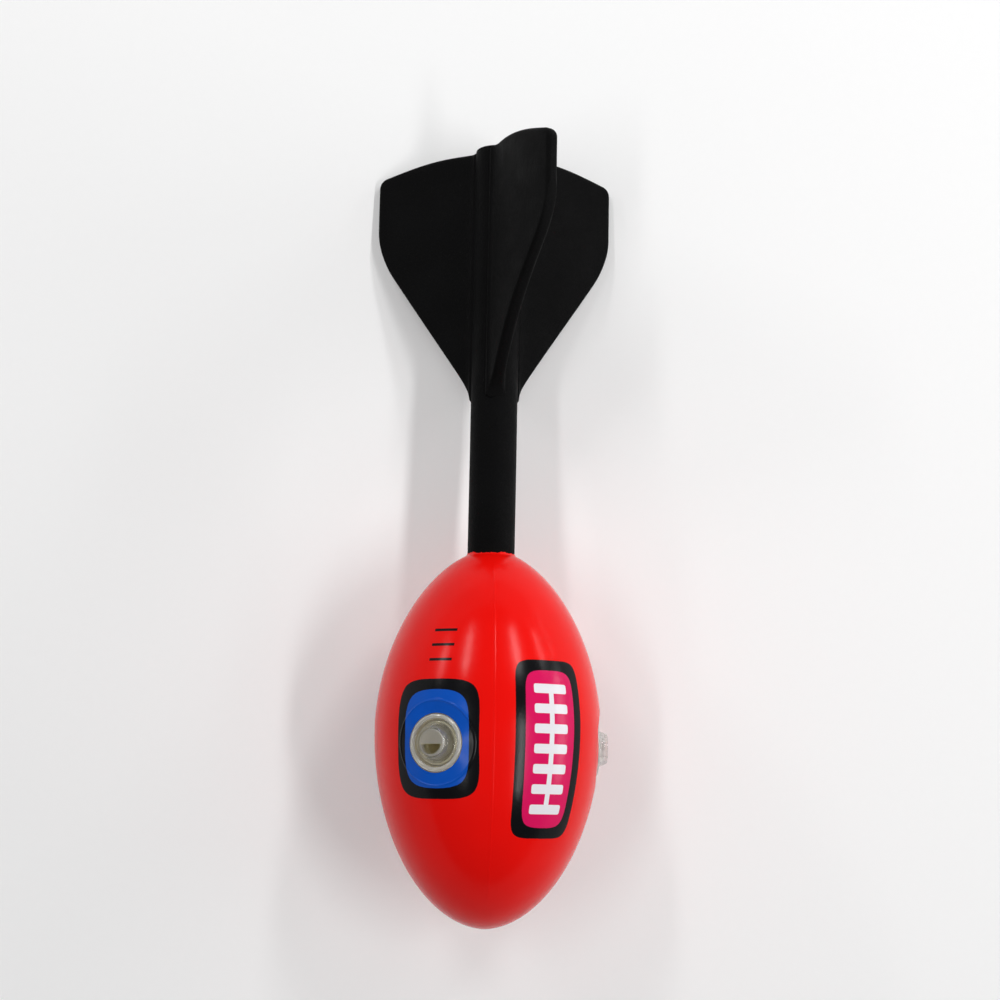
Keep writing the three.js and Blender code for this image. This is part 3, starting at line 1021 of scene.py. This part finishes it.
class TOY_OT_tail_stem(Operator):
    """Makes the foam stem with its moulded-in root and cut end"""

    bl_idname = "toy.tail_stem"
    bl_label = "Tail stem"

    def execute(self, context):
        tail = context.scene.toy_tail
        start, root_radius, root_length, slope = stem_root()
        radius, edge = tail.stem_radius, tail.stem_edge
        shaft = np.linspace(start + root_length + slope, TOY_LENGTH - edge, 110)
        profile = [(0, start), (root_radius, start), (root_radius, start + root_length)]
        profile += [(radius, station) for station in shaft[:-1]]
        profile += arc((radius - edge, TOY_LENGTH - edge), edge, 0, 90, 6)
        profile += [(radius * share, TOY_LENGTH) for share in (0.75, 0.5, 0.25, 0)]
        points, faces = turned(profile, count=96)
        depth, lobes, wave, twist = 0.004, 3, 13 * MM, 40 * MM
        swell = 1 + depth * np.sin(points[:, 1] / wave) * np.sin(
            lobes * np.arctan2(points[:, 0], points[:, 2]) + points[:, 1] / twist)
        points[:, 0] *= swell
        points[:, 2] *= swell
        stem = piece("tail_stem_foam", points, faces,
                     [black_foam_finish(context.scene.toy_colours)])
        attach(stem, ROOT_BODY)
        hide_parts("tail_stem")
        return {"FINISHED"}


class TOY_OT_fins(Operator):
    """Makes the three foam fins, each blade curling out from its hinge line by the stem"""

    bl_idname = "toy.fins"
    bl_label = "Fins"

    def execute(self, context):
        tail_station = TOY_LENGTH - 0.5 * MM
        material = black_foam_finish(context.scene.toy_colours)
        for name, fin in FINS.items():
            points, faces = fin_points(fin, tail_station)
            blade = piece(f"{name}_foam", points, faces, [material])
            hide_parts(name)
            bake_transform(blade)
        return {"FINISHED"}


class TOY_OT_whistle_caps(Operator):
    """Makes the clear whistle caps with their rims, turrets and sound windows"""

    bl_idname = "toy.whistle_caps"
    bl_label = "Whistle caps"

    def execute(self, context):
        colours = context.scene.toy_colours
        materials = [clear_finish("clear_plastic", colours.clear_plastic, 0.04, 0.96),
                     clear_finish("frosted_plastic", colours.frosted_plastic, 0.16, 0.45),
                     clear_finish("rim_plastic", colours.clear_plastic, 0.05, 0.5)]
        points, faces = turned(cap_profile(), count=112)
        reach = np.hypot(points[:, 0], points[:, 2])
        chosen = [cap_material(reach[list(face)], points[list(face), 1]) for face in faces]
        for number, angle in enumerate(whistle_angles(), 1):
            cap = piece(f"whistle_cap_{number}_clear", on_seat(points, angle), faces, materials,
                        chosen)
            cut_window(cap, angle)
            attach(cap, ROOT_BODY)
            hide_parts(f"whistle_cap_{number}")
        return {"FINISHED"}


class TOY_OT_whistle_cups(Operator):
    """Makes the resonance cups under the caps"""

    bl_idname = "toy.whistle_cups"
    bl_label = "Whistle cups"

    def execute(self, context):
        material = cup_finish(context.scene.toy_colours)
        points, faces = turned(cup_profile(), count=80)
        for number, angle in enumerate(whistle_angles(), 1):
            cup = piece(f"whistle_cup_{number}_milky", on_seat(points, angle), faces, [material])
            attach(cup, ROOT_BODY)
            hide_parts(f"whistle_cup_{number}")
        return {"FINISHED"}


class TOY_OT_stage(Operator):
    """Makes the floor, the lights, the world and the camera"""

    bl_idname = "toy.stage"
    bl_label = "Stage"

    def execute(self, context):
        scene = context.scene
        stage = scene.toy_stage
        floor = floor_object()
        floor.data.materials.append(floor_finish(scene.toy_colours))

        world = bpy.data.worlds.new("studio")
        world.use_nodes = True
        background = world.node_tree.nodes["Background"].inputs
        background["Color"].default_value = (1, 1, 1, 1)
        background["Strength"].default_value = 0.2
        scene.world = world

        middle, distance = NOSE + AXIS * 0.07, 1.1
        for number, (angle, past, length, width, power, beam) in enumerate(TUBES, 1):
            around = radians(angle) - stage.turn
            out = RIGHT * sin(around) + UP * cos(around)
            lamp(f"tube_{number}", width, length, power, beam,
                 middle + out * distance + AXIS * past, out)

        data = bpy.data.cameras.new("camera")
        data.sensor_width = 36
        data.lens = data.sensor_width * stage.focal_pixels / PHOTO_PIXELS
        data.clip_start = 0.01
        camera = bpy.data.objects.new("camera", data)
        scene.collection.objects.link(camera)
        camera.matrix_world = photo_camera(stage)
        scene.camera = camera
        scene.view_settings.view_transform = "Standard"
        return {"FINISHED"}


class TOY_PT_panel(Panel):
    """Lists the toy's pieces and their settings"""

    bl_idname = "TOY_PT_panel"
    bl_label = "Foam throwing toy"
    bl_space_type = "VIEW_3D"
    bl_region_type = "UI"
    bl_category = "Toy"

    def draw(self, context):
        layout = self.layout
        for operator in OPERATORS:
            layout.operator(operator.bl_idname)
        for name, group in GROUPS.items():
            box = layout.box()
            for key in group.__annotations__:
                box.prop(getattr(context.scene, name), key)


OPERATORS = (TOY_OT_stage, TOY_OT_foam_head, TOY_OT_tail_stem, TOY_OT_fins, TOY_OT_whistle_cups,
             TOY_OT_whistle_caps)
GROUPS = {
    "toy_head": HeadSizes,
    "toy_whistle": WhistleSizes,
    "toy_tail": TailSizes,
    "toy_colours": ToyColours,
    "toy_stage": StageSizes,
}


def register():
    for name, group in GROUPS.items():
        bpy.utils.register_class(group)
        setattr(bpy.types.Scene, name, PointerProperty(type=group))
    for operator in OPERATORS:
        bpy.utils.register_class(operator)
    bpy.utils.register_class(TOY_PT_panel)


def unregister():
    bpy.utils.unregister_class(TOY_PT_panel)
    for operator in reversed(OPERATORS):
        bpy.utils.unregister_class(operator)
    for name, group in reversed(list(GROUPS.items())):
        delattr(bpy.types.Scene, name)
        bpy.utils.unregister_class(group)


def main():
    register()
    bpy.ops.toy.stage()
    bpy.ops.toy.foam_head()
    bpy.ops.toy.tail_stem()
    bpy.ops.toy.fins()
    bpy.ops.toy.whistle_cups()
    bpy.ops.toy.whistle_caps()


if __name__ == "__main__":
    main()
